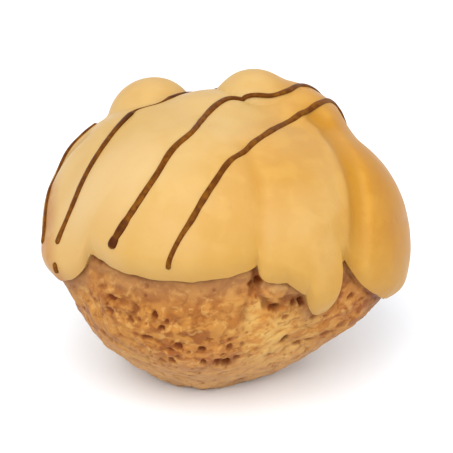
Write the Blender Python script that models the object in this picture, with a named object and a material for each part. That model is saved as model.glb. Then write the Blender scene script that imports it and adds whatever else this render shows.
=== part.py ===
"""An iced cream puff: a lobed choux bun, closed and solid, under a cap of fondant icing.

The icing runs down over the bun's lobes in uneven tongues and carries four thin, hand-drawn
lines of chocolate. Every surface is worked out from a core point inside the bun: a direction is
a heading (0 is the front, -Y; 90 is the right, +X) and a rise above the horizon, and a shape is
its reach from the core in that direction. Lengths are in millimetres and angles in degrees,
until a mesh is made.
"""

import bmesh
import bpy
import numpy as np
from mathutils import Vector, noise

METRES = 0.001

# The bun: a flattened body with balls of dough risen out of it.
CORE_HEIGHT = 26.0
BODY_HALF_WIDTHS = (30.8, 22.8, 20.7)
LOBE_BLEND = 0.8
LOBES = {  # name: (heading, rise, distance of the ball's centre from the core, ball's radius)
    "foot": (-70, -64, 9.4, 21.0),
    "foot_right": (72, -55, 7.9, 19.7),
    "front_left": (-38, 0, 9.3, 22.9),
    "front_right": (29, 9, 9.2, 19.2),
    "right": (71, -9, 15.2, 15.9),
    "right_high": (85, 17, 17.5, 11.7),
    "left": (-102, 8, 12.5, 18.4),
    "back_right": (159, 9, 11.4, 18.1),
    "back_left": (-151, -8, 12.0, 16.5),
    "top_back": (137, 36, 16.5, 12.4),
    "crown": (-144, 68, 12.5, 11.5),
    "top_knob": (155, 61, 22.1, 5.9),
    "left_knob": (-137, 38, 23.6, 7.2),
}

# The bare crust: broad dents and lumps all over, and the larger torn pockets.
DENT_WIDTH = 7.0
DENT_DEPTH = 0.6
CRUST_STARTS_BELOW_ICING = 5.0
POCKETS = {  # name: (heading, rise, width, depth)
    "left_high": (-38, -1, 3.4, 0.9),
    "left_middle": (-23, -5, 3.2, 0.9),
    "low_left": (-21, -24, 3.4, 0.8),
    "low_middle": (-3, -29, 4.2, 1.1),
    "under_notch": (13, 0, 3.0, 0.8),
    "under_drip": (29, -3, 3.6, 1.1),
    "low_right": (28, -26, 3.4, 0.9),
    "right": (52, -9, 3.0, 0.8),
    "back_low": (168, -24, 4.5, 1.1),
    "back_left": (-125, -26, 4.0, 1.0),
    "right_low": (95, -38, 4.5, 1.0),
}

# The icing: its thickness, how it thins towards its lip, and the tongues it ran down in. A drip
# runs down from a tongue's edge without a swell of its own.
ICING_BLEND = 1.3
ICING_THICKNESS = 2.0
LIP_SHARE = 0.25
THINNED_EDGE = 4.5
TONGUE_SWELL = 0.8
SWELL_FADES = (30, 6)
GAP_UNDER_ICING = 0.45
HIGHEST_NOTCH = 21.0
TONGUES = {  # name: (heading, half width, rise of its tip, height of its arc, squareness)
    "front_left": (-29, 41, 10.4, 7.2, 2.3),
    "front_middle": (31.5, 20, 7, 8, 2.9),
    "right": (90.5, 43, -21, 31.5, 1.7),
    "left": (-72.5, 22.5, -4, 16, 2.2),
    "left_back": (-110, 22, -10, 14, 2.5),
    "back_left": (-148, 24, -14, 18, 2.5),
    "back": (169, 23, -7, 14, 2.5),
    "back_right": (130, 24, -12, 16, 2.5),
}
DRIPS = {
    "front": (36, 7.7, -9, 24, 2.6),
    "beside_front": (29.4, 9.7, 0.8, 9.7, 1.2),
}
TYPICAL_REACH = 28.0
CREASES = {  # name: (depth, width, (heading, rise) points up the valley between two tongues)
    "front": (0.4, 3.4, ((10, 15), (12, 25), (15, 38), (16, 52), (13, 62))),
    "right": (0.9, 3.2, ((49, 9), (54, 16), (60, 24), (66, 30), (74, 37), (85, 43), (100, 47), (106, 52))),
    "left": (0.5, 3.0, ((-93, 4), (-97, 18), (-101, 32))),
    "back_left": (0.6, 3.2, ((-128, 2), (-126, 16), (-120, 30))),
    "back": (0.6, 3.2, ((-169, 4), (-171, 20), (-166, 36))),
    "back_right": (0.6, 3.2, ((150, 2), (151, 18), (146, 32))),
    "far_right": (0.7, 3.2, ((109, 2), (113, 18), (120, 32))),
}

# The chocolate lines. Each lies across the icing near one upright plane through the core; an arc
# of 0 is over the core, negative arcs are towards the front left, and an offset is measured
# square to the plane, towards the front right.
LINE_HEADING = 138.0
LINE_WIDTH = 1.0
LINE_STEP = 2.4
LINE_SMOOTHING = 19
LINES = {  # name: [(arc, offset), ...] along the line
    "far_left": [
        (-84, -17.0), (-79, -20.2), (-73, -22.7), (-66, -24.7), (-58, -25.8), (-50, -26.1), (-42, -25.6),
        (-35, -24.6), (-28, -23.2),
    ],
    "left": [(-80, -12.6), (-60, -12.8), (-40, -13.8), (-16, -16.1), (-8, -13.4), (2, -13.6), (60, -14)],
    "middle": [
        (-73, 1.8), (-65, 2.8), (-56, 3.4), (-46, 3.3), (-35, 2.0), (-24, 1.8), (-13, -0.5), (-4, -1.8),
        (9, -2.7), (14, -1.2), (18, 1.3), (23, 2.5), (31, 2.6), (39, 0.9), (60, 0.3), (80, -2.0),
    ],
    "right": [
        (-74, 12.7), (-56, 13.2), (-39, 12.3), (-28, 11.2), (-19, 11.1), (-2, 9.9), (18, 7.9),
        (39, 7.0), (51, 4.6), (75, 5.0),
    ],
}
DROPS = {  # name: (line, whether at its front end, diameter)
    "left_end": ("left", True, 1.5),
    "middle_end": ("middle", True, 1.9),
    "far_left_end": ("far_left", True, 1.4),
}

# How finely each surface is divided.
BUN_COLUMNS, BUN_ROWS = 72, 38
ICING_COLUMNS, ICING_ROWS = 88, 34
FINER_AT_FRONT = 17.0
FINER_AT_EDGE = 1.35


def smooth_step(low, high, value):
    share = np.clip((value - low) / (high - low), 0, 1)
    return share * share * (3 - 2 * share)


def direction(heading, rise):
    heading, rise = np.radians(heading), np.radians(rise)
    flat = np.cos(rise)
    return np.stack([np.sin(heading) * flat, -np.cos(heading) * flat, np.sin(rise)], axis=-1)


def turn_between(heading, other):
    return np.abs((heading - other + 180) % 360 - 180)


def at_reach(heading, rise, reach):
    points = direction(heading, rise) * reach[..., None]
    points[..., 2] += CORE_HEIGHT
    return points


def ball_reach(towards, centre, radius):
    """How far a ray from the core runs before it leaves a ball; less the wider it misses it."""
    along = towards @ centre
    inside = along**2 - centre @ centre + radius**2
    return along + np.where(inside > 0, 1, -3) * np.sqrt(np.abs(inside))


def bun_reach(heading, rise, blend):
    towards = direction(heading, rise)
    reaches = [1 / np.linalg.norm(towards / BODY_HALF_WIDTHS, axis=-1)]
    for lobe_heading, lobe_rise, distance, radius in LOBES.values():
        centre = direction(lobe_heading, lobe_rise) * distance
        reaches.append(ball_reach(towards, centre, radius))
    return blend * np.logaddexp.reduce(np.array(reaches) / blend, axis=0)


def lowest_arc(heading, tongues):
    """The rise of a wavy edge: a row of arcs, one for each tongue."""
    edge = np.full(np.shape(heading), HIGHEST_NOTCH)
    for middle, half_width, tip, height, squareness in tongues.values():
        aside = np.minimum(turn_between(heading, middle) / half_width, 1)
        arc = tip + height * (1 - (1 - aside**squareness) ** (1 / squareness))
        edge = np.where(aside < 1, np.minimum(edge, arc), edge)
    return edge


def icing_edge(heading):
    return lowest_arc(heading, TONGUES | DRIPS)


def crease_depth(heading, rise):
    towards = direction(heading, rise)
    depth = np.zeros(np.shape(heading))
    for deepest, width, path in CREASES.values():
        stops = [direction(*stop) for stop in path]
        for start, end in zip(stops, stops[1:]):
            run = end - start
            share = np.clip((towards - start) @ run / (run @ run), 0, 1)
            away = np.linalg.norm(towards - start - share[..., None] * run, axis=-1)
            groove = smooth_step(width, 0, away * TYPICAL_REACH)
            depth = np.maximum(depth, deepest * groove)
    return depth


def tongue_swell(heading, rise):
    flatness = np.ones(np.shape(heading))
    for middle, half_width, tip, *_ in TONGUES.values():
        aside = np.minimum(turn_between(heading, middle) / half_width, 1)
        flatness *= 1 - (1 - aside**2) ** 2 * smooth_step(*SWELL_FADES, rise - tip)
    return TONGUE_SWELL * (1 - flatness)


def under_icing_reach(heading, rise):
    return bun_reach(heading, rise, ICING_BLEND) + GAP_UNDER_ICING


def icing_reach(heading, rise):
    under = under_icing_reach(heading, rise)
    above_edge = rise - icing_edge(heading)
    inwards = np.clip(np.radians(above_edge) * under / THINNED_EDGE, 0, 1)
    share = LIP_SHARE + (1 - LIP_SHARE) * np.sin(inwards * np.pi / 2)
    thickness = ICING_THICKNESS - GAP_UNDER_ICING
    thickness = thickness + tongue_swell(heading, rise) - crease_depth(heading, rise)
    return under + thickness * share


def crust_depth(heading, rise, points):
    """How far the bare crust lies inside the bun's smooth shape."""
    bare = smooth_step(0, CRUST_STARTS_BELOW_ICING, icing_edge(heading) - rise)
    broad = np.array([noise.noise(Vector(point) / DENT_WIDTH) for point in points])
    depth = DENT_DEPTH * (0.5 - 0.5 * broad)
    for pocket_heading, pocket_rise, width, deepest in POCKETS.values():
        at = np.array([pocket_heading]), np.array([pocket_rise])
        middle = at_reach(*at, bun_reach(*at, LOBE_BLEND))[0]
        away = np.linalg.norm(points - middle, axis=-1)
        depth = np.maximum(depth, deepest * smooth_step(width, 0, away))
    return depth * bare


def bun_points(heading, rise):
    reach = bun_reach(heading, rise, LOBE_BLEND)
    smooth_points = at_reach(heading, rise, reach)
    points = at_reach(heading, rise, reach - crust_depth(heading, rise, smooth_points))
    points[:, 2] = np.maximum(points[:, 2], 0)
    return points


def icing_points(column_heading, row_rise):
    """The upper half of a sphere becomes the icing's outside, and the lower half its inside."""
    heading = column_heading - FINER_AT_FRONT * np.sin(np.radians(column_heading))
    edge = icing_edge(heading)
    rise = edge + (90 - edge) * np.abs(row_rise / 90) ** FINER_AT_EDGE
    outside = row_rise > 0
    reach = np.where(outside, icing_reach(heading, rise), under_icing_reach(heading, rise))
    return at_reach(heading, rise, reach)


def new_object(name, mesh, collection, material=None):
    mesh.name = name
    if material:
        mesh.materials.append(material)
    mesh.shade_smooth()
    made = bpy.data.objects.new(name, mesh)
    collection.objects.link(made)
    return made


def shaped_sphere(name, columns, rows, place, collection, material):
    """A sphere whose points are moved to where `place` puts their heading and rise."""
    shape = bmesh.new()
    bmesh.ops.create_uvsphere(shape, u_segments=columns, v_segments=rows, radius=1)
    ball = np.array([vertex.co for vertex in shape.verts], dtype=float)
    heading = np.degrees(np.arctan2(ball[:, 0], -ball[:, 1]))
    rise = np.degrees(np.arcsin(np.clip(ball[:, 2], -1, 1)))
    rise[np.abs(rise) < 1e-3] = 0
    for vertex, point in zip(shape.verts, place(heading, rise)):
        vertex.co = point * METRES
    bmesh.ops.recalc_face_normals(shape, faces=shape.faces)
    mesh = bpy.data.meshes.new(name)
    shape.to_mesh(mesh)
    shape.free()
    return new_object(name, mesh, collection, material)


def line_points(route):
    """Points along a chocolate line, on the icing, about LINE_STEP apart."""
    arcs, offsets = np.array(route, dtype=float).T
    arc = np.linspace(arcs[0], arcs[-1], 200)
    weights = np.hanning(LINE_SMOOTHING)
    padded = np.pad(np.interp(arc, arcs, offsets), LINE_SMOOTHING // 2, mode="edge")
    offset = np.convolve(padded, weights / weights.sum(), mode="valid")
    over = np.stack([0 * arc, 0 * arc, np.cos(np.radians(arc))], axis=-1)
    along = direction(LINE_HEADING, 0) * np.sin(np.radians(arc))[:, None]
    aside = direction(LINE_HEADING - 90, 0)
    reach = np.full(len(arc), CORE_HEIGHT)
    for _ in range(20):
        tilt = np.arcsin(np.clip(offset / reach, -0.98, 0.98))[:, None]
        towards = np.cos(tilt) * (over + along) + np.sin(tilt) * aside
        heading = np.degrees(np.arctan2(towards[:, 0], -towards[:, 1]))
        rise = np.degrees(np.arcsin(towards[:, 2]))
        reach = (reach + icing_reach(heading, rise)) / 2
    points = at_reach(heading, rise, reach)
    travelled = np.append(0, np.cumsum(np.linalg.norm(np.diff(points, axis=0), axis=1)))
    stops = np.linspace(0, travelled[-1], round(travelled[-1] / LINE_STEP))
    return np.stack([np.interp(stops, travelled, axis) for axis in points.T], axis=-1)


def drawn_line(name, points, collection):
    """A round strand along the points, as a closed mesh."""
    curve = bpy.data.curves.new(name, "CURVE")
    curve.dimensions = "3D"
    curve.bevel_depth = LINE_WIDTH / 2 * METRES
    curve.bevel_resolution = 1
    curve.use_fill_caps = True
    spline = curve.splines.new("POLY")
    spline.points.add(len(points) - 1)
    for spot, point in zip(spline.points, points):
        spot.co = (*(point * METRES), 1)
    guide = bpy.data.objects.new(name + "_guide", curve)
    collection.objects.link(guide)
    mesh = bpy.data.meshes.new_from_object(guide.evaluated_get(bpy.context.evaluated_depsgraph_get()))
    bpy.data.objects.remove(guide)
    shape = bmesh.new()
    shape.from_mesh(mesh)
    bmesh.ops.remove_doubles(shape, verts=shape.verts, dist=1e-5)
    shape.to_mesh(mesh)
    shape.free()
    return new_object(name, mesh, collection)


def drop(name, centre, diameter, collection):
    shape = bmesh.new()
    bmesh.ops.create_icosphere(shape, subdivisions=1, radius=diameter / 2 * METRES)
    bmesh.ops.translate(shape, verts=shape.verts, vec=Vector(centre * METRES))
    mesh = bpy.data.meshes.new(name)
    shape.to_mesh(mesh)
    shape.free()
    return new_object(name, mesh, collection)


def fuse(target, pieces):
    """Joins a collection's objects to the target in one union, then removes them."""
    union = target.modifiers.new("fuse", "BOOLEAN")
    union.operation = "UNION"
    union.operand_type = "COLLECTION"
    union.collection = pieces
    union.solver = "EXACT"
    bpy.context.view_layer.update()
    fused = bpy.data.meshes.new_from_object(
        target.evaluated_get(bpy.context.evaluated_depsgraph_get())
    )
    target.modifiers.clear()
    target.data = fused
    fused.name = target.name
    fused.shade_smooth()
    for piece in list(pieces.objects):
        bpy.data.objects.remove(piece)
    bpy.data.collections.remove(pieces)


def centre_on_base(objects):
    """Puts the origin under the middle of the whole, on the surface it stands on."""
    corners = np.array([vertex.co for item in objects for vertex in item.data.vertices])
    low, high = corners.min(axis=0), corners.max(axis=0)
    shift = Vector((-(low[0] + high[0]) / 2, -(low[1] + high[1]) / 2, -low[2]))
    for item in objects:
        for vertex in item.data.vertices:
            vertex.co += shift


def finish(name, colour, roughness):
    material = bpy.data.materials.new(name)
    material.use_nodes = True
    shader = material.node_tree.nodes["Principled BSDF"]
    shader.inputs["Base Color"].default_value = (*colour, 1)
    shader.inputs["Roughness"].default_value = roughness
    shader.inputs["Metallic"].default_value = 0
    return material


def new_collection(name):
    made = bpy.data.collections.new(name)
    bpy.context.scene.collection.children.link(made)
    return made


def build():
    for item in list(bpy.data.objects):
        bpy.data.objects.remove(item)
    cream_puff = new_collection("cream_puff")
    lines = new_collection("chocolate_lines")
    crust = finish("choux_crust", (0.54, 0.25, 0.08), 0.65)
    fondant = finish("fondant_icing", (0.85, 0.55, 0.22), 0.4)
    bun = shaped_sphere("choux_bun", BUN_COLUMNS, BUN_ROWS, bun_points, cream_puff, crust)
    icing = shaped_sphere("icing", ICING_COLUMNS, ICING_ROWS, icing_points, cream_puff, fondant)
    routes = {name: line_points(route) for name, route in LINES.items()}
    for name, points in routes.items():
        drawn_line("line_" + name, points, lines)
    for name, (line, at_front, diameter) in DROPS.items():
        drop("drop_" + name, routes[line][0 if at_front else -1], diameter, lines)
    fuse(icing, lines)
    centre_on_base([bun, icing])


build()
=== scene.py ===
"""Looks of the iced cream puff: baked choux crust, poured fondant icing and chocolate lines.

Every surface is worked out from a core point inside the bun, as the solids are: a direction is
a heading (0 is the front, -Y; 90 is the right, +X) and a rise above the horizon, and a shape is
its reach from the core in that direction. Lengths are in millimetres and angles in degrees,
until a mesh is made. The pieces here are finer versions of the solids that they replace.
"""

import itertools
import math

import bpy
import numpy as np
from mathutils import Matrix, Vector, noise


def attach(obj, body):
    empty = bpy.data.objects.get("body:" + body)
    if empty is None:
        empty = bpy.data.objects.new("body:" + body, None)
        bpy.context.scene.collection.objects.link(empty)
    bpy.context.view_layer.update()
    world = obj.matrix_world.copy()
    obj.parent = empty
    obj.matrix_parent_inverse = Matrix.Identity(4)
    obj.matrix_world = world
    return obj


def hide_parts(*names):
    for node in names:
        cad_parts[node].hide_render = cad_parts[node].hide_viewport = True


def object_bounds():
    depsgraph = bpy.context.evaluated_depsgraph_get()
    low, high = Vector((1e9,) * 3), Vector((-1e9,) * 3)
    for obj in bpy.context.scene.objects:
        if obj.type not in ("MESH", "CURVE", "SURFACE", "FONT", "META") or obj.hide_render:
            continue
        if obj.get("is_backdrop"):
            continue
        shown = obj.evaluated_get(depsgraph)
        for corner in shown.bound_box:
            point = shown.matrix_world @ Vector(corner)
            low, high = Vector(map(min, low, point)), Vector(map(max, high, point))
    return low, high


METRES = 0.001

# The bun's form, as in the solids but for the last two lobes. They fill out its lower left.
CORE = (-0.024, -0.160, 26.0)
BODY_HALF_WIDTHS = (30.8, 22.8, 20.7)
LOBE_BLEND = 0.8
MISS_PENALTY = 3  # how steeply a lobe's reach falls off where a direction misses its ball
LOBES = {  # name: (heading, rise, distance of the ball's centre from the core, ball's radius)
    "foot": (-70, -64, 9.4, 21.0),
    "foot_right": (72, -55, 7.9, 19.7),
    "front_left": (-38, 0, 9.3, 22.9),
    "front_right": (29, 9, 9.2, 19.2),
    "right": (71, -9, 15.2, 15.9),
    "right_high": (85, 17, 17.5, 11.7),
    "left": (-102, 8, 12.5, 18.4),
    "back_right": (159, 9, 11.4, 18.1),
    "back_left": (-151, -8, 12.0, 16.5),
    "top_back": (137, 36, 16.5, 12.4),
    "crown": (-144, 68, 12.5, 11.5),
    "top_knob": (155, 61, 22.1, 5.9),
    "left_knob": (-137, 38, 23.6, 7.2),
    "left_flank": (-70, -22, 9.4, 21.2),
    "left_tip": (-64, -1, 24.1, 8.8),
}

# The icing's form, as in the solids.
ICING_BLEND = 1.3
ICING_THICKNESS = 2.0
LIP_SHARE = 0.25
THINNED_EDGE = 4.5
TONGUE_SWELL = 0.8
SWELL_FADES = (30, 6)
HIGHEST_NOTCH = 21.0
TONGUES = {  # name: (heading, half width, rise of its tip, height of its arc, squareness)
    "front_left": (-29, 41, 10.4, 7.2, 2.3),
    "front_middle": (31.5, 20, 7, 8, 2.9),
    "right": (90.5, 43, -21, 31.5, 1.7),
    "left": (-72.5, 22.5, -4, 16, 2.2),
    "left_back": (-110, 22, -10, 14, 2.5),
    "back_left": (-148, 24, -14, 18, 2.5),
    "back": (169, 23, -7, 14, 2.5),
    "back_right": (130, 24, -12, 16, 2.5),
}
DRIPS = {  # narrower runs, in the same terms
    "front": (36, 7.7, -9, 24, 2.6),
    "beside_front": (29.4, 9.7, 0.8, 9.7, 1.2),
}

TYPICAL_REACH = 28.0  # from the core, where an angle is taken as a distance along the surface
CREASES = {  # name: (depth, width, (heading, rise) points up the valley between two tongues)
    "front": (0.4, 3.4, ((10, 15), (12, 25), (15, 38), (16, 52), (13, 62))),
    "right": (
        0.9, 3.2, ((49, 9), (54, 16), (60, 24), (66, 30), (74, 37), (85, 43), (100, 47), (106, 52)),
    ),
    "left": (0.5, 3.0, ((-93, 4), (-97, 18), (-101, 32))),
    "back_left": (0.6, 3.2, ((-128, 2), (-126, 16), (-120, 30))),
    "back": (0.6, 3.2, ((-169, 4), (-171, 20), (-166, 36))),
    "back_right": (0.6, 3.2, ((150, 2), (151, 18), (146, 32))),
    "far_right": (0.7, 3.2, ((109, 2), (113, 18), (120, 32))),
}

# The icing's finer form.
EDGE_RIPPLE = ((9.0, 0.8), (3.2, 0.4))  # (grain, amount), both in degrees
UNDERCUT = 0.7
SUNK_INTO_CRUST = 0.4
LIP_SINKS_FROM = 0.7  # share of the undercut
INNER_TOP_ABOVE_CORE = 14.0
WAVES = ((7.5, 0.16), (2.8, 0.04))  # (grain, depth)
PINHOLES = 60
PINHOLE_SEED = 5
PINHOLE_SIZES = (0.25, 0.5)
PINHOLE_RISE_SINES = (0.2, 0.98)
PINHOLE_RADIUS = 0.8  # in sizes
PINHOLE_DEPTH = 0.35  # in sizes
# Partly the icing's own uneven tone, partly painted light: below 0 a painted sheen on the left, rising
# to the right as painted warm bounce, and above 1 painted shade on the right lobe's far side.
TONES_AND_PAINTED_LIGHT = (  # (heading, how deep in colour the icing is there, below 0 where it is paler than most)
    (-180, 0.5), (-110, 0.1), (-75, -0.2), (-60, -0.5), (-42, -0.5), (-28, 0.0), (0, 0.3), (34, 0.4),
    (45, 0.9), (49, 1.0), (53, 0.8), (58, 1.1), (70, 1.5), (110, 1.5), (150, 0.9),
)
TONES_LEAN_FROM = (15, 50)  # the headings between which the tones come to follow the right crease
TONES_LEAN_UNTIL = (170, 120)  # and those between which they leave it again
TONES_FADE = (74, 36)  # the rises between which the tones set in, from the top down
FROM_EDGE_AT_POLES = (0, 40)

# The crust's relief: (grain, depth) of each layer, then what was torn, folded or blown up.
DENTS = (7.0, 0.6)
LUMPS = ((3.4, 0.35), (1.6, 0.13), (0.8, 0.05))
LUMP_FLATTENING = (1, 1, 1.3)
LUMP_LAYERS_APART = 31  # in the noise, for each millimetre of grain
FURROWS = (4.5, 0.3)
FURROW_SIDES = (0.14, 0.02)  # noise levels at a furrow's brink and floor
FURROW_WANDER = (1.1, 0.15)  # (grain, amount)
FURROW_SHIFT = 5  # in the noise
RAGGEDNESS = ((0.9, 1.0), (0.45, 0.5))  # (grain, amount)
CRUST_STARTS_BELOW_ICING = 5.0
MARKS_START_BELOW_ICING = (-1.5, 1)
BELOW_ICING_AT_POLES = (90, -60)
# A fold's darkness is painted shade in it, strongest under the icing's lips and the blisters.
FOLDS = {  # name: (depth, width, darkness, (heading, rise) points along it)
    "left_notch": (0.8, 1.5, 0.7, ((-59, 14), (-53, 11.5), (-47, 10.5))),
    "under_left_lip": (0.5, 1.0, 0.45, ((-47, 10.5), (-34, 10), (-24, 10))),
    "under_front_lip": (0.2, 0.7, 0.25, ((-15, 10.5), (-5, 11))),
    "below_notch": (0.8, 1.6, 0.7, ((11, 13), (11, 8))),
    "under_notch": (0.3, 1.0, 0.3, ((10, 7), (8, 3), (6, -5))),
    "beside_blister": (0.5, 1.0, 0.5, ((11, 8), (12, 3), (15, -1))),
    "under_blister": (0.9, 1.5, 0.75, ((15, -1), (19, -3), (23, -1), (28, -1), (30, -2))),
    "above_pits": (0.1, 4.2, 0.22, ((-26, 5), (-16, 4))),
    "crack": (0.4, 0.7, 0.5, ((-31, -12), (-27, -13), (-25, -14), (-22, -16))),
    "torn_ring": (0.5, 0.8, 0.45, ((-38, -2), (-35, 1), (-32, 0), (-30, -2), (-31, -4), (-34, -5))),
    "right_notch": (0.9, 1.4, 0.85, ((49, 15), (49, 9), (52, 2))),
    "under_right_lip": (0.7, 1.6, 0.85, ((52, 2), (57, -5), (63, -11), (69, -14))),
    "in_right_notch": (0.1, 4.5, 0.25, ((50, 0), (55, -8), (62, -15), (70, -22))),
    "beside_drip": (0.4, 1.0, 0.4, ((46, 1), (44, -4), (44, -11), (42, -14))),
    "back": (0.6, 0.9, 0.6, ((180, -12), (176, -24), (182, -34))),
    "back_left": (0.7, 0.9, 0.6, ((-128, -12), (-131, -22), (-127, -34))),
    "left": (0.5, 0.8, 0.6, ((-74, -8), (-77, -18), (-73, -28))),
    "back_right": (0.6, 1.0, 0.6, ((128, -20), (122, -27), (127, -36), (121, -44))),
}
FOLD_RAGGEDNESS = 0.5
FOLD_PATCHES = 3.0  # grain of the unevenness along the folds
FOLD_FADES = (-0.6, 0.3)  # noise levels where a fold is faintest and strongest
FAINTEST_FOLD_DEPTH = 0.5  # share of the strongest
FAINTEST_FOLD_DARKNESS = 0.45
BLISTERS = {  # name: (heading, rise, width, height, how far it stands out)
    "under_notch": (18.5, 4, 4.6, 3.4, 0.6),
    "beside_drip": (49, -12, 3.6, 3.6, 0.5),
    "low_left": (-21, -21, 2.6, 1.6, 0.3),
    "left": (-50, -12, 3.4, 2.6, 0.35),
    "low_front": (2, -36, 3.0, 2.0, 0.35),
    "back": (160, -22, 4.4, 3.2, 0.5),
    "far_left": (-98, -24, 4.0, 3.0, 0.5),
    "far_right": (96, -32, 3.6, 3.0, 0.5),
}
BLISTER_RAGGEDNESS = 0.15
SAME_SIDE = 0.8  # the cosine of the widest turn from a blister at which it is looked for
PITS = (  # (heading, rise, width, height, depth) of the torn bubbles at the front
    (-40, -1, 2.0, 1.3, 0.9), (-41, -6, 1.8, 1.5, 0.6), (-35, -1, 2.6, 1.4, 0.35),
    (-31, -2, 1.1, 1.2, 0.4), (-33, -7, 1.3, 1.7, 0.6), (-30, -6, 1.1, 1.3, 0.3),
    (-24, -3, 1.2, 2.0, 0.8), (-22, -8, 1.2, 1.2, 0.8), (-20, -5, 0.9, 1.3, 0.5),
    (-28, -13, 2.3, 1.0, 0.6), (-17, -16, 1.3, 1.7, 0.8), (-20, -18, 1.0, 1.2, 0.5),
    (-9, -18, 1.4, 1.9, 0.9), (-21, -25, 1.4, 2.2, 0.7), (-25, -26, 1.6, 1.7, 0.4),
    (-9, -26, 1.2, 2.0, 0.7), (-4, -28.5, 1.5, 3.0, 0.9), (-0.5, -30, 1.8, 3.2, 1.0),
    (1, -19, 1.3, 2.2, 0.6), (4, -28, 1.5, 2.0, 0.6), (-6, -13, 1.6, 0.8, 0.3),
    (-43, 2, 1.5, 1.1, 0.3), (-48, -5, 1.4, 1.0, 0.3), (-27, 7, 1.0, 1.1, 0.3),
    (12, 9, 1.3, 1.7, 0.9), (9, 8, 1.3, 1.3, 0.6), (18, -3.5, 2.2, 1.5, 0.8),
    (26, -3, 1.3, 1.4, 0.8), (30, -3, 2.2, 2.5, 1.1), (23, -9, 1.5, 1.3, 0.4),
    (26, -24, 1.5, 3.8, 1.1), (35, -31, 2.0, 2.0, 0.5), (40, -29, 1.6, 1.7, 0.6),
    (46, -26, 2.0, 2.0, 0.3), (36, -13, 1.7, 1.5, 0.4), (51, -21, 1.7, 2.4, 0.4),
    (51, -7, 1.7, 1.4, 0.5), (56, -10, 1.6, 0.9, 0.4), (6, -19, 1.1, 1.6, 0.3),
    (-12, -2, 1.0, 0.9, 0.25),
)
SCATTERED_PITS = {  # name: (headings, rises, count, widest)
    "speckles": ((-180, 180), (-55, 14), 300, 0.7),
    "low_front": ((-32, 8), (-31, -12), 55, 1.1),
    "left_front": ((-62, -26), (-14, 4), 22, 0.9),
    "right_front": ((30, 64), (-32, -2), 22, 1.0),
    "right": ((66, 130), (-40, -12), 70, 1.8),
    "back": ((130, 240), (-42, -8), 110, 2.0),
    "left": ((-125, -62), (-42, -2), 75, 1.8),
}
PIT_SEED = 11
NARROWEST_PIT = 0.3
WIDE_PITS_RARE = 2.2  # the power of the draw
PIT_HEIGHTS = (0.6, 1.1)  # in widths
PIT_DEPTHS = (0.3, 0.55)  # in widths
PIT_RAGGEDNESS = 0.3
PIT_MARGIN = 1.2  # the widths round a pit, at least, within which it is looked for
PIT_SIDES = (1.2, 0.45)  # where its sides start and end: 0 is its middle, 1 its outline
PIT_SHADE_SIDES = (1.1, 0.6)
# A pit's darkness: some scorching, and painted shade that grows with each millimetre of depth.
PIT_DARKNESS = (0.25, 0.85)  # of the shallowest pit, and added for each millimetre of depth

# Colour areas: (heading, rise, half width, half height, strength), all but the last in degrees.
DEEPER_ICING = ((70, 60, 45, 20, 0.6),)
GOLDEN_AREAS = (
    (19, -22, 13, 20, 0.9), (12, -6, 8, 9, 0.8), (2, -3, 8, 11, 0.25), (150, -34, 25, 12, 0.9),
    (-100, -38, 25, 10, 0.9), (-32, -28, 16, 9, 0.4), (38, -20, 9, 9, 0.5), (28, -36, 13, 10, 0.7),
)
RUDDY_AREAS = (
    (-8, -22, 22, 9, 0.8), (14, 1, 7, 5, 0.7), (50, -10, 14, 12, 0.8), (-150, -18, 25, 12, 0.8),
    (100, -22, 20, 12, 0.8),
)
AREA_EDGE = (1.3, 0.4)  # where an area starts and is full: 0 is its middle, 1 its outline
SMEAR = (4.6, ((-88, 14), (-75, 9), (-68, 4), (-62, -3)))  # (width, path) of chocolate rubbed thin

# The chocolate lines. Their routes are (arc, offset) points, as in the solids but for the front
# end of the left one and for the dot, which is a ball there.
LINE_HEADING = 138.0
LINES = {  # name: route
    "far_left": [
        (-84, -17.0), (-79, -20.2), (-73, -22.7), (-66, -24.7), (-58, -25.8), (-50, -26.1),
        (-42, -25.6), (-35, -24.6), (-28, -23.2),
    ],
    "left": [
        (-80, -12.0), (-60, -12.4), (-40, -13.8), (-16, -16.1), (-8, -13.4), (2, -13.6), (60, -14),
    ],
    "middle": [
        (-73, 1.8), (-65, 2.8), (-56, 3.4), (-46, 3.3), (-35, 2.0), (-24, 1.8), (-13, -0.5), (-4, -1.8),
        (9, -2.7), (14, -1.2), (18, 1.3), (23, 2.5), (31, 2.6), (39, 0.9), (60, 0.3), (80, -2.0),
    ],
    "right": [
        (-74, 12.7), (-56, 13.2), (-39, 12.3), (-28, 11.2), (-19, 11.1), (-2, 9.9), (18, 7.9),
        (39, 7.0), (51, 4.6), (75, 5.0),
    ],
    "left_dot": [(-89, -11.0), (-85, -11.2)],
}
ROUTE_SAMPLES = 200
ROUTE_ROUNDS = 20
LARGEST_TILT_SINE = 0.98
LINE_SMOOTHING = 19
LINE_STEP = 0.3
LINE_SIDES = 14
LINE_WIDTH = 1.12
LINE_HEIGHT = 0.38
HEIGHT_GROWTH = 0.6  # the power of the width that the height follows
NARROWEST_TIP = 0.02
WIDER_STROKES = {"left": 1.4, "far_left": 1.1, "middle": 1.12, "right": 1.05}
STROKE_NOISE = ((6.0, 0.2, 0), (2.0, 0.12, 9))  # (grain, share of the width, shift in the noise)
STROKE_NOISE_START = (0.3, 0.7)  # where in the noise the first line is read
STROKES_APART = 40  # in the noise
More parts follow.
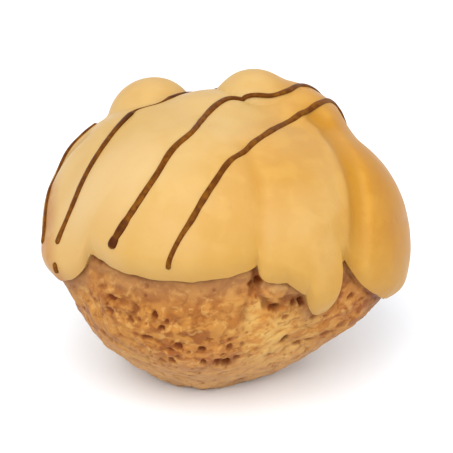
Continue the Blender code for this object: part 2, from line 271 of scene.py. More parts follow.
UNEVEN_PLACES = {  # name: (line, distance from its front end, length, width there)
    "left_end": ("left", 1.2, 2.6, 1.35),
    "left_dot": ("left_dot", 1.0, 2.0, 1.2),
    "middle_end": ("middle", 1.0, 1.9, 1.9),
    "middle_second": ("middle", 4.3, 2.6, 1.65),
    "far_left_end": ("far_left", 0.9, 1.6, 1.3),
    "right_end": ("right", 0.8, 1.6, 1.2),
    "left_thin": ("left", 4.4, 4.0, 1.2),
    "left_faint": ("left", 34.4, 6.3, 0.18),
    "right_thin": ("right", 4.5, 8.0, 0.88),
}
PLACE_NARROWING = 1.4  # a place reaches its length / 1.4 either way from its middle
PLACE_FULLNESS = 0.75  # the power of its rounded profile, which is fuller the lower this is

# How finely each surface is divided.
FINER_AT_FRONT = 14.0
BUN_COLUMNS = 590
BUN_ROWS = ((-86, -70, 4), (-68, 24, 0.62), (26.76, 88, 8))  # (lowest rise, highest, step)
ICING_COLUMNS = 460
HIDDEN_ICING_ROWS = (0.5, 0.25, 0.1)  # shares of the way from the edge to HIGHEST_HIDDEN_ROW
HIGHEST_HIDDEN_ROW = 88
LIP_ROWS = 6
OUTER_ICING_ROWS = 121
ROWS_CLOSER_AT_EDGE = 1.25

# The camera, and the photograph's frame as real size at the object.
CAMERA_ELEVATION = 28.0
CAMERA_DISTANCE = 900.0
FRAME_WIDTH = 82.5
AIM_ABOVE_CORE = 0.9
SENSOR_WIDTH = 36.0

# The studio, in metres and watts.
STUDIO_BRIGHTNESS = 1.85
LIGHTS = {  # name: (heading, rise, distance, size, power, tint)
    "key": (-24, 48, 1.0, 1.2, 11.5, (1.0, 0.99, 0.98)),
    "fill": (62, 28, 1.1, 0.9, 3.6, (1.0, 0.99, 0.98)),
    "back": (170, 50, 1.1, 0.8, 1.5, (0.98, 0.99, 1.0)),
}
LIGHTS_AIM_HEIGHT = 0.03
SKY_COLOUR = (0.97, 0.985, 1.0, 1)
SKY_STRENGTH = 1.0
TABLE_SIZE = 6.0
TABLE_COLOURS = ((0.80, 0.825, 0.86, 1), (0.82, 0.845, 0.875, 1))

# Colours from 0 to 255, as the surfaces look in the studio.
COLOURS = {
    "crust_brown": (174, 101, 35),
    "crust_tan": (218, 148, 66),
    "crust_even": (196, 122, 48),
    "crust_ruddy_brown": (178, 95, 31),
    "crust_ruddy_tan": (230, 154, 73),
    "crust_golden": (235, 160, 68),
    "crust_golden_pale": (252, 200, 112),
    # painted light thrown up from the table onto the underside
    "crust_underside_bounce": (248, 194, 130),
    "crust_light_fleck": (255, 196, 110),
    "crust_dark_fleck": (152, 81, 24),
    # painted shade in the crust's hollows
    "crust_hollow_shade": (148, 79, 22),
    # painted highlight on the crust's crests
    "crust_crest_highlight": (255, 198, 112),
    # painted shade of the icing's lip on the crust below it
    "crust_shaded_below_icing": (190, 143, 93),
    # painted shadow of the gap under the icing's lip, partly a browner edge
    "crust_seam_browning_and_shadow": (158, 88, 30),
    # scorching, and painted shade in the pits and folds
    "crust_scorched_and_shaded": (138, 60, 0),
    "icing": (237, 194, 120),
    "icing_deeper": (233, 186, 102),
    "icing_cloud": (243, 201, 127),
    # painted sheen on the left of the icing
    "icing_pale_sheen": (247, 208, 146),
    "icing_caramel": (236, 171, 58),
    "icing_caramel_deep": (226, 158, 44),
    # painted shade on the right lobe's far side, partly a deeper caramel
    "icing_caramel_shade": (206, 138, 34),
    # icing pooled thicker in the creases, and painted shade in them
    "icing_crease_pool_and_shade": (210, 144, 20),
    "icing_thin": (222, 168, 70),
    "icing_rim": (220, 158, 66),
    "icing_smear": (200, 124, 40),
    "chocolate": (112, 58, 3),
    "chocolate_streak": (146, 86, 10),
    "chocolate_thick": (80, 34, 0),
}


def smooth_step(low, high, value):
    share = np.clip((value - low) / (high - low), 0, 1)
    return share * share * (3 - 2 * share)


def direction(heading, rise):
    heading, rise = np.broadcast_arrays(np.radians(heading), np.radians(rise))
    flat = np.cos(rise)
    return np.stack([np.sin(heading) * flat, -np.cos(heading) * flat, np.sin(rise)], axis=-1)


def turn_between(heading, other):
    return np.abs((heading - other + 180) % 360 - 180)


def at_reach(heading, rise, reach):
    return direction(heading, rise) * reach[..., None] + CORE


def on_axis(height):
    return (CORE[0], CORE[1], height)


def along_surface(angle):
    """About how many millimetres of the surface an angle takes in."""
    return np.radians(angle) * TYPICAL_REACH


def noise_at(points, grain):
    """Smooth noise between about -1 and 1, with one swing in about `grain` millimetres."""
    return np.array([noise.noise(point) for point in (points / grain).tolist()])


def noise_layers(points, layers):
    return sum(amount * noise_at(points, grain) for grain, amount in layers)


def ball_reach(towards, centre, radius):
    """How far a ray from the core runs before it leaves a ball; less the wider it misses it."""
    along = towards @ centre
    inside = along**2 - centre @ centre + radius**2
    return along + np.where(inside > 0, 1, -MISS_PENALTY) * np.sqrt(np.abs(inside))


def bun_reach(heading, rise, blend):
    towards = direction(heading, rise)
    reaches = [1 / np.linalg.norm(towards / BODY_HALF_WIDTHS, axis=-1)]
    for lobe_heading, lobe_rise, distance, radius in LOBES.values():
        centre = direction(lobe_heading, lobe_rise) * distance
        reaches.append(ball_reach(towards, centre, radius))
    return blend * np.logaddexp.reduce(np.array(reaches) / blend, axis=0)


def lowest_arc(heading, tongues):
    """The rise of a wavy edge: a row of arcs, one for each tongue."""
    edge = np.full(np.shape(heading), HIGHEST_NOTCH)
    for middle, half_width, tip, height, squareness in tongues.values():
        aside = np.minimum(turn_between(heading, middle) / half_width, 1)
        arc = tip + height * (1 - (1 - aside**squareness) ** (1 / squareness))
        edge = np.where(aside < 1, np.minimum(edge, arc), edge)
    return edge


def icing_edge(heading):
    edge = lowest_arc(heading, TONGUES | DRIPS)
    around = direction(heading, 0)
    for grain, amount in EDGE_RIPPLE:
        edge = edge + amount * noise_at(around, math.radians(grain))
    return edge


def tongue_swell(heading, rise):
    flatness = np.ones(np.shape(heading))
    for middle, half_width, tip, *_ in TONGUES.values():
        aside = np.minimum(turn_between(heading, middle) / half_width, 1)
        flatness *= 1 - (1 - aside**2) ** 2 * smooth_step(*SWELL_FADES, rise - tip)
    return TONGUE_SWELL * (1 - flatness)


def distance_to_path(towards, path):
    """About how far each direction lies from a path across the puff, in millimetres."""
    nearest = np.full(len(towards), np.inf)
    for start, end in itertools.pairwise([direction(*stop) for stop in path]):
        run = end - start
        share = np.clip((towards - start) @ run / (run @ run), 0, 1)
        away = np.linalg.norm(towards - start - share[:, None] * run, axis=-1)
        nearest = np.minimum(nearest, away)
    return nearest * TYPICAL_REACH


def distance_in_oval(towards, heading, rise, width, height):
    """How far each direction lies from an oval's middle: 0 there, 1 on the oval's outline."""
    middle = direction(heading, rise)
    level = direction(heading + 90, 0)
    upward = np.cross(level, middle)
    offset = (towards - middle) * TYPICAL_REACH
    return np.hypot(offset @ level / width, offset @ upward / height) * 2


def crease_depth(heading, rise):
    towards = direction(heading, rise)
    depth = np.zeros(np.shape(heading))
    for deepest, width, path in CREASES.values():
        depth = np.maximum(depth, deepest * smooth_step(width, 0, distance_to_path(towards, path)))
    return depth


def icing_reach(heading, rise, edge):
    """The icing's outside, from the lowest line of its edge upwards."""
    under = bun_reach(heading, rise, ICING_BLEND)
    above_edge = rise - edge
    inwards = np.clip(np.radians(above_edge) * under / THINNED_EDGE, 0, 1)
    share = LIP_SHARE + (1 - LIP_SHARE) * np.sin(inwards * np.pi / 2)
    thickness = ICING_THICKNESS + tongue_swell(heading, rise) - crease_depth(heading, rise)
    points = at_reach(heading, rise, under)
    return under + (thickness + noise_layers(points, WAVES)) * share


def all_pits():
    """The placed pits and the scattered ones, which come from a seeded draw."""
    draw = np.random.default_rng(PIT_SEED)
    pits = list(PITS)
    for headings, rises, count, widest in SCATTERED_PITS.values():
        width = NARROWEST_PIT + (widest - NARROWEST_PIT) * draw.random(count) ** WIDE_PITS_RARE
        height = width * draw.uniform(*PIT_HEIGHTS, count)
        depth = width * draw.uniform(*PIT_DEPTHS, count)
        places = draw.uniform(*headings, count), draw.uniform(*rises, count)
        pits += zip(*places, width, height, depth)
    return pits


def carve_pits(towards, ragged, depth, scorch_and_shade):
    """Presses torn, uneven bowls into the crust, with scorching and painted shade in them."""
    shallowest_darkness, deeper_darkness = PIT_DARKNESS
    for heading, rise, width, height, deepest in all_pits():
        least_cosine = 1 - (PIT_MARGIN * max(width, height) / TYPICAL_REACH) ** 2
        near = np.flatnonzero(towards @ direction(heading, rise) > least_cosine)
        away = distance_in_oval(towards[near], heading, rise, width, height)
        away *= 1 + PIT_RAGGEDNESS * ragged[near]
        depth[near] += deepest * smooth_step(*PIT_SIDES, away)
        darkness = min(1, shallowest_darkness + deepest * deeper_darkness)
        scorch_and_shade[near] = np.maximum(scorch_and_shade[near], darkness * smooth_step(*PIT_SHADE_SIDES, away))


# Presses the folds into the crust and paints shade along them.
def carve_folds(towards, ragged, uneven, depth, scorch_and_shade):
    strength = smooth_step(*FOLD_FADES, uneven)
    depth_share = FAINTEST_FOLD_DEPTH + (1 - FAINTEST_FOLD_DEPTH) * strength
    darkness_share = FAINTEST_FOLD_DARKNESS + (1 - FAINTEST_FOLD_DARKNESS) * strength
    for deepest, width, darkness, path in FOLDS.values():
        away = distance_to_path(towards, path) / width * (1 + FOLD_RAGGEDNESS * ragged)
        inwards = smooth_step(1, 0, away)
        depth += deepest * depth_share * inwards
        scorch_and_shade[:] = np.maximum(scorch_and_shade, darkness * darkness_share * inwards)


def raise_blisters(towards, ragged, depth):
    for heading, rise, width, height, stands_out in BLISTERS.values():
        away = distance_in_oval(towards, heading, rise, width, height)
        away *= 1 + BLISTER_RAGGEDNESS * ragged
        away = np.where(towards @ direction(heading, rise) > SAME_SIDE, away, np.inf)
        depth -= stands_out * np.sqrt(np.clip(1 - away**2, 0, 1))


def furrow_depth(points):
    """Narrow valleys where a broad noise passes through 0, made to wander by a finer one."""
    grain, deepest = FURROWS
    finer_grain, wander = FURROW_WANDER
    level = np.abs(noise_at(points + FURROW_SHIFT, grain))
    level += wander * np.abs(noise_at(points, finer_grain))
    return deepest * smooth_step(*FURROW_SIDES, level)


def crust_relief(points, heading, rise):
    """Depth inside the smooth bun, scorching and painted shade, and how far below the icing."""
    below_icing = icing_edge(heading) - rise
    towards = direction(heading, rise)
    dent_grain, deepest_dent = DENTS
    depth = deepest_dent * (0.5 - 0.5 * noise_at(points - on_axis(0), dent_grain))
    for grain, deepest in LUMPS:
        depth -= deepest * noise_at(points * LUMP_FLATTENING + grain * LUMP_LAYERS_APART, grain)
    depth += furrow_depth(points)
    depth *= smooth_step(0, CRUST_STARTS_BELOW_ICING, below_icing)
    ragged = noise_layers(points, RAGGEDNESS)
    placed, scorch_and_shade = np.zeros(len(points)), np.zeros(len(points))
    raise_blisters(towards, ragged, placed)
    carve_folds(towards, ragged, noise_at(points, FOLD_PATCHES), placed, scorch_and_shade)
    carve_pits(towards, ragged, placed, scorch_and_shade)
    shows = smooth_step(*MARKS_START_BELOW_ICING, below_icing)
    return depth + placed * shows, scorch_and_shade * shows, below_icing


def area_share(towards, areas):
    """The strength of soft-edged oval areas, down to 0 outside them."""
    share = np.zeros(len(towards))
    for heading, rise, half_width, half_height, strength in areas:
        size = along_surface((2 * half_width, 2 * half_height))
        away = distance_in_oval(towards, heading, rise, *size)
        front = towards @ direction(heading, rise) > 0
        share = np.maximum(share, np.where(front, strength * smooth_step(*AREA_EDGE, away), 0))
    return share


def grid_mesh(name, rows, poles):
    """A closed mesh from rows of points round the puff, and a point at each end."""
    count, columns = len(rows), len(rows[0])
    points = np.concatenate([np.concatenate(rows), poles])
    row, column = np.meshgrid(np.arange(count - 1), np.arange(columns), indexing="ij")
    row, column = row.ravel() * columns, column.ravel()
    beside = (column + 1) % columns
    quads = np.stack([row + column, row + beside, row + columns + beside, row + columns + column])
    around = np.arange(columns)
    last = (count - 1) * columns
    first_pole, last_pole = np.full(columns, count * columns), np.full(columns, count * columns + 1)
    fan_low = np.stack([first_pole, np.roll(around, -1), around])
    fan_high = np.stack([last_pole, last + around, last + np.roll(around, -1)])
    faces = quads.T.tolist() + fan_low.T.tolist() + fan_high.T.tolist()
    mesh = bpy.data.meshes.new(name)
    mesh.from_pydata((points * METRES).tolist(), [], faces)
    mesh.shade_smooth()
    return mesh


def store(mesh, name, values, at_poles=(0, 0)):
    """Keeps a value for each point, and for the two poles that come last in a grid mesh."""
    layer = mesh.attributes.new(name, "FLOAT", "POINT")
    layer.data.foreach_set("value", np.append(values, at_poles).astype(np.float32))


def new_piece(name, mesh, material):
    mesh.materials.append(material)
    piece = bpy.data.objects.new(name, mesh)
    bpy.context.scene.collection.objects.link(piece)
    return piece


def finer_at_front(columns):
    heading = np.arange(columns) * 360 / columns
    return heading - FINER_AT_FRONT * np.sin(np.radians(heading))


def make_bun(material):
    rises = np.concatenate([np.arange(*rows) for rows in BUN_ROWS])
    heading, rise = (side.ravel() for side in np.meshgrid(finer_at_front(BUN_COLUMNS), rises))
    reach = bun_reach(heading, rise, LOBE_BLEND)
    depth, scorch_and_shade, below_icing = crust_relief(at_reach(heading, rise, reach), heading, rise)
    points = at_reach(heading, rise, reach - depth)
    points[:, 2] = np.maximum(points[:, 2], 0)
    poles = np.array([on_axis(0), on_axis(points[-1, 2])])
    mesh = grid_mesh("choux_crust", points.reshape(len(rises), BUN_COLUMNS, 3), poles)
    towards = direction(heading, rise)
    store(mesh, "scorch_and_shade", scorch_and_shade)
    store(mesh, "depth", depth)
    store(mesh, "below_icing", below_icing, BELOW_ICING_AT_POLES)
    store(mesh, "height", points[:, 2], poles[:, 2])
    store(mesh, "golden", area_share(towards, GOLDEN_AREAS))
    store(mesh, "ruddy", area_share(towards, RUDDY_AREAS))
    return new_piece("choux_crust", mesh, material)


def carve_pinholes(points):
    """Presses a few burst air bubbles into the icing's outside."""
    draw = np.random.default_rng(PINHOLE_SEED)
    outward = points - CORE
    outward /= np.linalg.norm(outward, axis=-1, keepdims=True)
    for _ in range(PINHOLES):
        heading = draw.uniform(-180, 180)
        rise = math.degrees(math.asin(draw.uniform(*PINHOLE_RISE_SINES)))
        size = draw.uniform(*PINHOLE_SIZES)
        middle = points[np.argmax(outward @ direction(heading, rise))]
        away = np.linalg.norm(points - middle, axis=-1)
        depth = PINHOLE_DEPTH * size * smooth_step(size * PINHOLE_RADIUS, 0, away)
        points -= outward * depth[:, None]


def icing_tone_and_painted_light(heading, rise):
    """How deep in colour each tongue of icing set, plus painted sheen and painted shade."""
    _, _, crease = CREASES["right"]
    crease_heading, crease_rise = np.array(crease).T
    turned = (heading + 180) % 360 - 180
    lean = np.interp(rise, crease_rise, crease_heading) - crease_heading[0]
    lean *= smooth_step(*TONES_LEAN_FROM, turned) * smooth_step(*TONES_LEAN_UNTIL, turned)
    headings, tones = np.array(TONES_AND_PAINTED_LIGHT).T
    tone_and_painted_light = np.interp(turned - lean, headings, tones, period=360) * smooth_step(*TONES_FADE, rise)
    top = area_share(direction(heading, rise), DEEPER_ICING)
    return tone_and_painted_light + (1 - tone_and_painted_light) * top


def hidden_icing(headings, edge):
    """The rises and reach of rows inside the bun, from the top down."""
    for share in HIDDEN_ICING_ROWS:
        rises = edge + (HIGHEST_HIDDEN_ROW - edge) * share
        yield rises, bun_reach(headings, rises, LOBE_BLEND) - SUNK_INTO_CRUST


def icing_lip(headings, edge):
    """The rises and reach of rows round the rolled edge, from behind it to its lowest line."""
    lip = LIP_SHARE * (ICING_THICKNESS + tongue_swell(headings, edge))
    for back in np.linspace(1, 0, LIP_ROWS, endpoint=False):
        rises = edge + math.degrees(UNDERCUT * back / TYPICAL_REACH)
        under = bun_reach(headings, rises, LOBE_BLEND)
        sunk = SUNK_INTO_CRUST * smooth_step(LIP_SINKS_FROM, 1, back)
        yield rises, under + lip * (1 - back**2) ** 0.5 - sunk


def outer_icing(headings, edge):
    """The rises and reach of rows from the lowest line of the edge to the top."""
    for share in np.linspace(0, 1, OUTER_ICING_ROWS, endpoint=False) ** ROWS_CLOSER_AT_EDGE:
        rises = edge + (90 - edge) * share
        yield rises, icing_reach(headings, rises, edge)


def make_icing(material):
    headings = finer_at_front(ICING_COLUMNS)
    edge = icing_edge(headings)
    inner_rows = [*hidden_icing(headings, edge), *icing_lip(headings, edge)]
    rows = [*inner_rows, *outer_icing(headings, edge)]
    rise, reach = (np.concatenate(values) for values in zip(*rows))
    heading = np.tile(headings, len(rows))
    points = at_reach(heading, rise, reach)
    poles = np.array([on_axis(CORE[2] + INNER_TOP_ABOVE_CORE), on_axis(points[-1, 2])])
    carve_pinholes(points[len(inner_rows) * ICING_COLUMNS :])
    mesh = grid_mesh("icing_cap", points.reshape(len(rows), ICING_COLUMNS, 3), poles)
    from_edge = along_surface(rise - np.tile(edge, len(rows)))
    smear_width, smear_path = SMEAR
    from_smear = distance_to_path(direction(heading, rise), smear_path)
    store(mesh, "from_edge", from_edge, FROM_EDGE_AT_POLES)
    store(mesh, "crease", crease_depth(heading, rise))
    store(mesh, "tone_and_painted_light", icing_tone_and_painted_light(heading, rise))
    store(mesh, "smear", smooth_step(smear_width, 0, from_smear))
    return new_piece("icing_cap", mesh, material)


def line_route(route):
    """Points along a chocolate line on the icing, LINE_STEP apart, and how far along each lies."""
    arcs, offsets = np.array(route, dtype=float).T
    arc = np.linspace(arcs[0], arcs[-1], ROUTE_SAMPLES)
    weights = np.hanning(LINE_SMOOTHING)
    padded = np.pad(np.interp(arc, arcs, offsets), LINE_SMOOTHING // 2, mode="edge")
    offset = np.convolve(padded, weights / weights.sum(), mode="valid")
    over = np.stack([0 * arc, 0 * arc, np.cos(np.radians(arc))], axis=-1)
    along = direction(LINE_HEADING, 0) * np.sin(np.radians(arc))[:, None]
    aside = direction(LINE_HEADING - 90, 0)
    reach = np.full(len(arc), CORE[2])
    for _ in range(ROUTE_ROUNDS):
        sine = np.clip(offset / reach, -LARGEST_TILT_SINE, LARGEST_TILT_SINE)
        tilt = np.arcsin(sine)[:, None]
        towards = np.cos(tilt) * (over + along) + np.sin(tilt) * aside
        heading = np.degrees(np.arctan2(towards[:, 0], -towards[:, 1]))
        rise = np.degrees(np.arcsin(towards[:, 2]))
        reach = (reach + icing_reach(heading, rise, icing_edge(heading))) / 2
    points = at_reach(heading, rise, reach)
    travelled = np.append(0, np.cumsum(np.linalg.norm(np.diff(points, axis=0), axis=1)))
    stops = np.linspace(0, travelled[-1], round(travelled[-1] / LINE_STEP))
    points = np.stack([np.interp(stops, travelled, axis) for axis in points.T], axis=-1)
    return points, stops


def line_widths(name, stops):
    """The line's width along it: uneven, swollen or faint in places, rounded at the ends."""
    aside, above = STROKE_NOISE_START
    aside += STROKES_APART * list(LINES).index(name)
    places = np.stack(np.broadcast_arrays(stops, aside, above), axis=-1)
    unevenness = 0
    for grain, share, shift in STROKE_NOISE:
        unevenness = unevenness + share * noise_at(places + shift, grain)
    width = LINE_WIDTH * WIDER_STROKES.get(name, 1) * (1 + unevenness)
    for line, middle, length, width_there in UNEVEN_PLACES.values():
        if line == name:
            share = np.clip(1 - ((stops - middle) / length * PLACE_NARROWING) ** 2, 0, 1)
            width = width + (width_there - width) * share**PLACE_FULLNESS
    roundings = [np.clip(from_end / (width / 2), 0, 1) for from_end in (stops, stops[-1] - stops)]
    for inwards in roundings:
        width = width * np.sqrt(1 - (1 - inwards) ** 2)
    return np.maximum(width, NARROWEST_TIP)


def line_rings(middle, width):
    """Rings of points round a line's middle, lower than they are wide."""
    angles = np.arange(LINE_SIDES) * 2 * np.pi / LINE_SIDES
    width = width[:, None, None]
    height = LINE_HEIGHT * (width / LINE_WIDTH) ** HEIGHT_GROWTH
    ahead = np.gradient(middle, axis=0)
    ahead /= np.linalg.norm(ahead, axis=1, keepdims=True)
    outward = middle - CORE
    outward -= (outward * ahead).sum(axis=1, keepdims=True) * ahead
    outward /= np.linalg.norm(outward, axis=1, keepdims=True)
    sideways = np.cross(ahead, outward)
    across = sideways[:, None] * np.cos(angles)[None, :, None] * width / 2
    upright = outward[:, None] * np.sin(angles)[None, :, None] * height
    return (middle[:, None] + across + upright).reshape(-1, 3)


def tube_faces(start, count):
    """The faces of a closed tube of `count` rings, whose points begin at number `start`."""
    row, side = np.meshgrid(np.arange(count - 1), np.arange(LINE_SIDES), indexing="ij")
    row, side = start + row.ravel() * LINE_SIDES, side.ravel()
    beside = (side + 1) % LINE_SIDES
    quads = [row + side, row + LINE_SIDES + side, row + LINE_SIDES + beside, row + beside]
    first_ring = start + np.arange(LINE_SIDES)
    last_ring = first_ring + (count - 1) * LINE_SIDES
    return np.stack(quads).T.tolist() + [first_ring.tolist(), last_ring[::-1].tolist()]


def make_lines(material):
    points, faces, widths = [], [], []
    for name, route in LINES.items():
        middle, stops = line_route(route)
        width = line_widths(name, stops)
        faces += tube_faces(sum(map(len, points)), len(middle))
        points.append(line_rings(middle, width))
        widths.append(np.repeat(width, LINE_SIDES))
    mesh = bpy.data.meshes.new("chocolate_lines")
    mesh.from_pydata((np.concatenate(points) * METRES).tolist(), [], faces)
    mesh.shade_smooth()
    store(mesh, "width", np.concatenate(widths), at_poles=())
    return new_piece("chocolate_lines", mesh, material)


class Look:
    """A material built from the Principled shader, with short names for its nodes."""

    def __init__(self, name, **settings):
        self.material = bpy.data.materials.new(name)
        self.material.use_nodes = True
        self.tree = self.material.node_tree
        self.shader = self.tree.nodes["Principled BSDF"]
        for socket, value in settings.items():
            self.shader.inputs[socket.replace("_", " ")].default_value = value
        self.place = self.tree.nodes.new("ShaderNodeTexCoord").outputs["Object"]

    def node(self, kind, **settings):
        made = self.tree.nodes.new(kind)
        for name, value in settings.items():
            setattr(made, name, value)
        return made

    def feed(self, socket, value):
        if isinstance(value, bpy.types.NodeSocket):
            self.tree.links.new(value, socket)
        else:
            socket.default_value = value

    def attribute(self, name):
        return self.node("ShaderNodeAttribute", attribute_name=name).outputs["Fac"]

    def speckle(self, size, detail=3.0, stretch=(1, 1, 1), distortion=0.0):
        """Noise from 0 to 1 whose grain is about `size` millimetres."""
        mapping = self.node("ShaderNodeMapping")
        self.feed(mapping.inputs["Vector"], self.place)
        mapping.inputs["Scale"].default_value = stretch
        made = self.node("ShaderNodeTexNoise")
        self.feed(made.inputs["Vector"], mapping.outputs["Vector"])
        made.inputs["Scale"].default_value = 1 / (size * METRES)
        made.inputs["Detail"].default_value = detail
        made.inputs["Distortion"].default_value = distortion
        return made.outputs["Fac"]

    def maths(self, operation, first, second):
        made = self.node("ShaderNodeMath", operation=operation)
        self.feed(made.inputs[0], first)
        self.feed(made.inputs[1], second)
        return made.outputs["Value"]

    def between(self, value, low, high, to_low=0.0, to_high=1.0):
        made = self.node("ShaderNodeMapRange", interpolation_type="SMOOTHSTEP")
        self.feed(made.inputs["Value"], value)
        made.inputs["From Min"].default_value = low
        made.inputs["From Max"].default_value = high
        made.inputs["To Min"].default_value = to_low
        made.inputs["To Max"].default_value = to_high
        return made.outputs["Result"]

    def mix(self, share, first, second):
        made = self.node("ShaderNodeMix", data_type="RGBA")
        self.feed(made.inputs["Factor"], share)
        self.feed(made.inputs[6], first)
        self.feed(made.inputs[7], second)
        return made.outputs[2]

    def bump(self, height, distance, strength, after=None):
        made = self.node("ShaderNodeBump")
        made.inputs["Distance"].default_value = distance * METRES
        made.inputs["Strength"].default_value = strength
        self.feed(made.inputs["Height"], height)
        if after:
            self.feed(made.inputs["Normal"], after)
        return made.outputs["Normal"]

    def finish(self, **sockets):
        for name, value in sockets.items():
            self.feed(self.shader.inputs[name.replace("_", " ")], value)
        return self.material


def colour(name):
    """The shader's colour for a surface that looks like the named one in the studio."""
    linear = [((value / 255 + 0.055) / 1.055) ** 2.4 for value in COLOURS[name]]
    return (*(value / STUDIO_BRIGHTNESS for value in linear), 1.0)


def crust_look():
    look = Look("baked_choux", Specular_IOR_Level=0.16)
    broad = look.speckle(9.0, detail=2.0)
    patches = look.speckle(3.2, stretch=(1, 1, 1.3), distortion=0.6)
    small = look.speckle(1.5, distortion=0.5)
    fine = look.speckle(0.6)
    patchy = look.between(patches, 0.38, 0.58)
    base = look.mix(patchy, colour("crust_brown"), colour("crust_tan"))
    base = look.mix(look.between(broad, 0.4, 0.65, 0.0, 0.4), base, colour("crust_even"))
    ruddy = look.attribute("ruddy")
    redder = look.mix(patchy, colour("crust_ruddy_brown"), colour("crust_ruddy_tan"))
    base = look.mix(ruddy, base, redder)
    pale = look.between(patches, 0.38, 0.6)
    golden = look.mix(pale, colour("crust_golden"), colour("crust_golden_pale"))
    base = look.mix(look.attribute("golden"), base, golden)
    # Painted light: the crust is paler towards the bottom, standing in for light thrown up by the
    # table.
    underside_bounce = look.between(look.attribute("height"), 17.0, 3.0, 0.0, 0.7)
    base = look.mix(underside_bounce, base, colour("crust_underside_bounce"))
    base = look.mix(look.between(small, 0.54, 0.68, 0.0, 0.45), base, colour("crust_light_fleck"))
    base = look.mix(look.between(small, 0.44, 0.32, 0.0, 0.5), base, colour("crust_dark_fleck"))
    # Painted shade: the crust is darker where its relief lies deeper.
    low = look.between(look.attribute("depth"), 0.3, 0.9)
    base = look.mix(look.maths("MULTIPLY", low, 0.35), base, colour("crust_hollow_shade"))
    # Painted highlight: the crust is paler where its relief stands out.
    high = look.between(look.attribute("depth"), 0.1, -0.4)
    base = look.mix(look.maths("MULTIPLY", high, 0.4), base, colour("crust_crest_highlight"))
    # Painted shade: a duller brown up to 12 mm below the icing stands for its lip's shadow, held back
    # on the ruddy areas.
    lip = look.between(look.attribute("below_icing"), 12.0, -0.5)
    lip = look.maths("MULTIPLY", lip, look.maths("SUBTRACT", 1.0, ruddy))
    base = look.mix(look.maths("MULTIPLY", lip, 0.6), base, colour("crust_shaded_below_icing"))
    # A dark band 1 to 5 mm below the icing's edge, off the crests: painted shadow of the gap under the
    # lip, partly a browner edge.
    seam_shadow = look.maths("SUBTRACT", look.between(look.attribute("below_icing"), 5.0, 1.0), high)
    base = look.mix(look.maths("MULTIPLY", seam_shadow, 0.35), base, colour("crust_seam_browning_and_shadow"))
    # Painted shade in the pits and folds, over some scorching in the pits.
    base = look.mix(look.attribute("scorch_and_shade"), base, colour("crust_scorched_and_shaded"))
    rough = look.between(patches, 0.3, 0.7, 0.5, 0.68)
    relief = look.bump(fine, 0.12, 0.7)
    relief = look.bump(look.speckle(0.25, detail=2.0), 0.03, 0.5, after=relief)
    return look.finish(Base_Color=base, Roughness=rough, Normal=relief)


def icing_look():
    look = Look(
        "poured_fondant",
        Specular_IOR_Level=0.2,
        Subsurface_Weight=0.2,
        Subsurface_Radius=(1.0, 0.55, 0.25),
        Subsurface_Scale=0.0014,
        Coat_Weight=0.04,
        Coat_Roughness=0.35,
    )
    broad = look.speckle(12.0, detail=2.0)
    cloud = look.speckle(4.0, distortion=0.3)
    base = look.mix(look.between(broad, 0.38, 0.62), colour("icing"), colour("icing_deeper"))
    base = look.mix(look.between(cloud, 0.4, 0.7, 0.0, 0.45), base, colour("icing_cloud"))
    clouded = look.between(cloud, 0.4, 0.65)
    deep = look.mix(clouded, colour("icing_caramel_deep"), colour("icing_caramel"))
    tone_and_painted_light = look.attribute("tone_and_painted_light")
    # Paler below 0 as a painted sheen, deeper caramel up to 1 (partly painted warm bounce), darker
    # above 1 as painted shade.
    base = look.mix(look.between(tone_and_painted_light, 0.0, -0.5, 0.0, 0.7), base, colour("icing_pale_sheen"))
    base = look.mix(tone_and_painted_light, base, deep)
    base = look.mix(look.between(tone_and_painted_light, 0.9, 1.5, 0.0, 0.6), base, colour("icing_caramel_shade"))
    # Deeper colour along the creases: icing pooled thicker there, and painted shade in the valleys.
    crease_pool_and_shade = look.between(look.attribute("crease"), 0.1, 0.8, 0.0, 0.8)
    base = look.mix(crease_pool_and_shade, base, colour("icing_crease_pool_and_shade"))
    thinner = look.between(look.attribute("from_edge"), 14.0, 2.0, 0.0, 0.5)
    base = look.mix(thinner, base, colour("icing_thin"))
    rim = look.between(look.attribute("from_edge"), 2.5, 0.0, 0.0, 0.3)
    base = look.mix(rim, base, colour("icing_rim"))
    smear = look.between(cloud, 0.3, 0.6, 0.45, 0.8)
    smear = look.maths("MULTIPLY", look.attribute("smear"), smear)
    base = look.mix(smear, base, colour("icing_smear"))
    rough = look.between(cloud, 0.3, 0.7, 0.38, 0.5)
    relief = look.bump(look.speckle(1.6), 0.05, 0.5)
    relief = look.bump(look.speckle(0.25, detail=2.0), 0.008, 0.5, after=relief)
    return look.finish(Base_Color=base, Roughness=rough, Normal=relief)


def chocolate_look():
    look = Look("dark_chocolate", Specular_IOR_Level=0.06)
    streaks = look.speckle(1.2)
    streaky = look.between(streaks, 0.35, 0.7)
    base = look.mix(streaky, colour("chocolate"), colour("chocolate_streak"))
    thick = look.between(look.attribute("width"), 1.3, 1.8, 0.0, 0.85)
    base = look.mix(thick, base, colour("chocolate_thick"))
    rough = look.between(streaks, 0.3, 0.7, 0.35, 0.5)
    return look.finish(Base_Color=base, Roughness=rough, Normal=look.bump(streaks, 0.03, 0.5))


def table_look():
    look = Look("pale_table", Roughness=0.6)
    cloud = look.speckle(60.0, detail=2.0)
    base = look.mix(look.between(cloud, 0.3, 0.7), *TABLE_COLOURS)
    return look.finish(Base_Color=base)


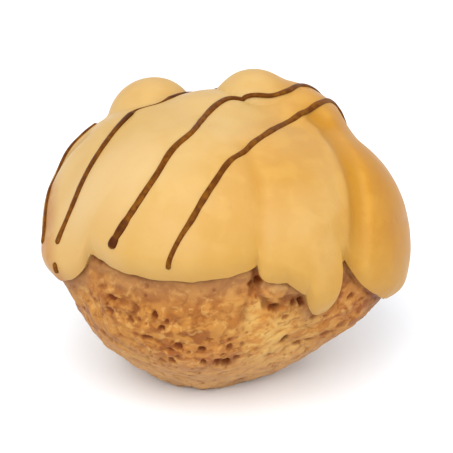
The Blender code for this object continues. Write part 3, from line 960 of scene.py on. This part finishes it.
def make_table():
    bpy.ops.mesh.primitive_plane_add(size=TABLE_SIZE)
    table = bpy.context.object
    table.name = "table"
    table.data.materials.append(table_look())
    table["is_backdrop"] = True


def make_light(name, heading, rise, distance, size, power, tint):
    light = bpy.data.lights.new(name, "AREA")
    light.shape = "DISK"
    light.size = size
    light.energy = power
    light.color = tint
    holder = bpy.data.objects.new(name, light)
    bpy.context.scene.collection.objects.link(holder)
    place = Vector(direction(heading, rise) * distance)
    holder.location = place + Vector((0, 0, LIGHTS_AIM_HEIGHT))
    holder.rotation_mode = "QUATERNION"
    holder.rotation_quaternion = (-place).to_track_quat("-Z", "Y")


def make_lights():
    for name, light in LIGHTS.items():
        make_light(name, *light)
    world = bpy.data.worlds.new("studio")
    bpy.context.scene.world = world
    world.use_nodes = True
    background = world.node_tree.nodes["Background"]
    background.inputs["Color"].default_value = SKY_COLOUR
    background.inputs["Strength"].default_value = SKY_STRENGTH
    bpy.context.scene.view_settings.view_transform = "Standard"


def make_camera():
    lens = bpy.data.cameras.new("camera")
    lens.sensor_width = SENSOR_WIDTH
    lens.lens = SENSOR_WIDTH * CAMERA_DISTANCE / FRAME_WIDTH
    camera = bpy.data.objects.new("camera", lens)
    bpy.context.scene.collection.objects.link(camera)
    back = Vector(direction(0, CAMERA_ELEVATION))
    aim = Vector(on_axis(CORE[2] + AIM_ABOVE_CORE)) * METRES
    camera.location = aim + back * CAMERA_DISTANCE * METRES
    camera.rotation_mode = "QUATERNION"
    camera.rotation_quaternion = (-back).to_track_quat("-Z", "Y")
    bpy.context.scene.camera = camera


def report_size(cad_box):
    boxes = {"cad": cad_box, "visual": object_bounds()}
    boxes = {name: [list(map(float, corner)) for corner in box] for name, box in boxes.items()}


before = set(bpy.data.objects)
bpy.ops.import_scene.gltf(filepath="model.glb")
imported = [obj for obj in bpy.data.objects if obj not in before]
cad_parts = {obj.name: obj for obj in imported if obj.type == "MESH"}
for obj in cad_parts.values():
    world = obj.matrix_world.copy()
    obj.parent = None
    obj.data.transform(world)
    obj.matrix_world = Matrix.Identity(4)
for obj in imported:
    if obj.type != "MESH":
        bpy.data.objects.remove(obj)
cad_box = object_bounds()
make_camera()
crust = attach(make_bun(crust_look()), "root")
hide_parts("choux_bun")
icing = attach(make_icing(icing_look()), "root")
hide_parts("icing")
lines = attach(make_lines(chocolate_look()), "root")
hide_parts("icing")
make_table()
make_lights()
report_size(cad_box)
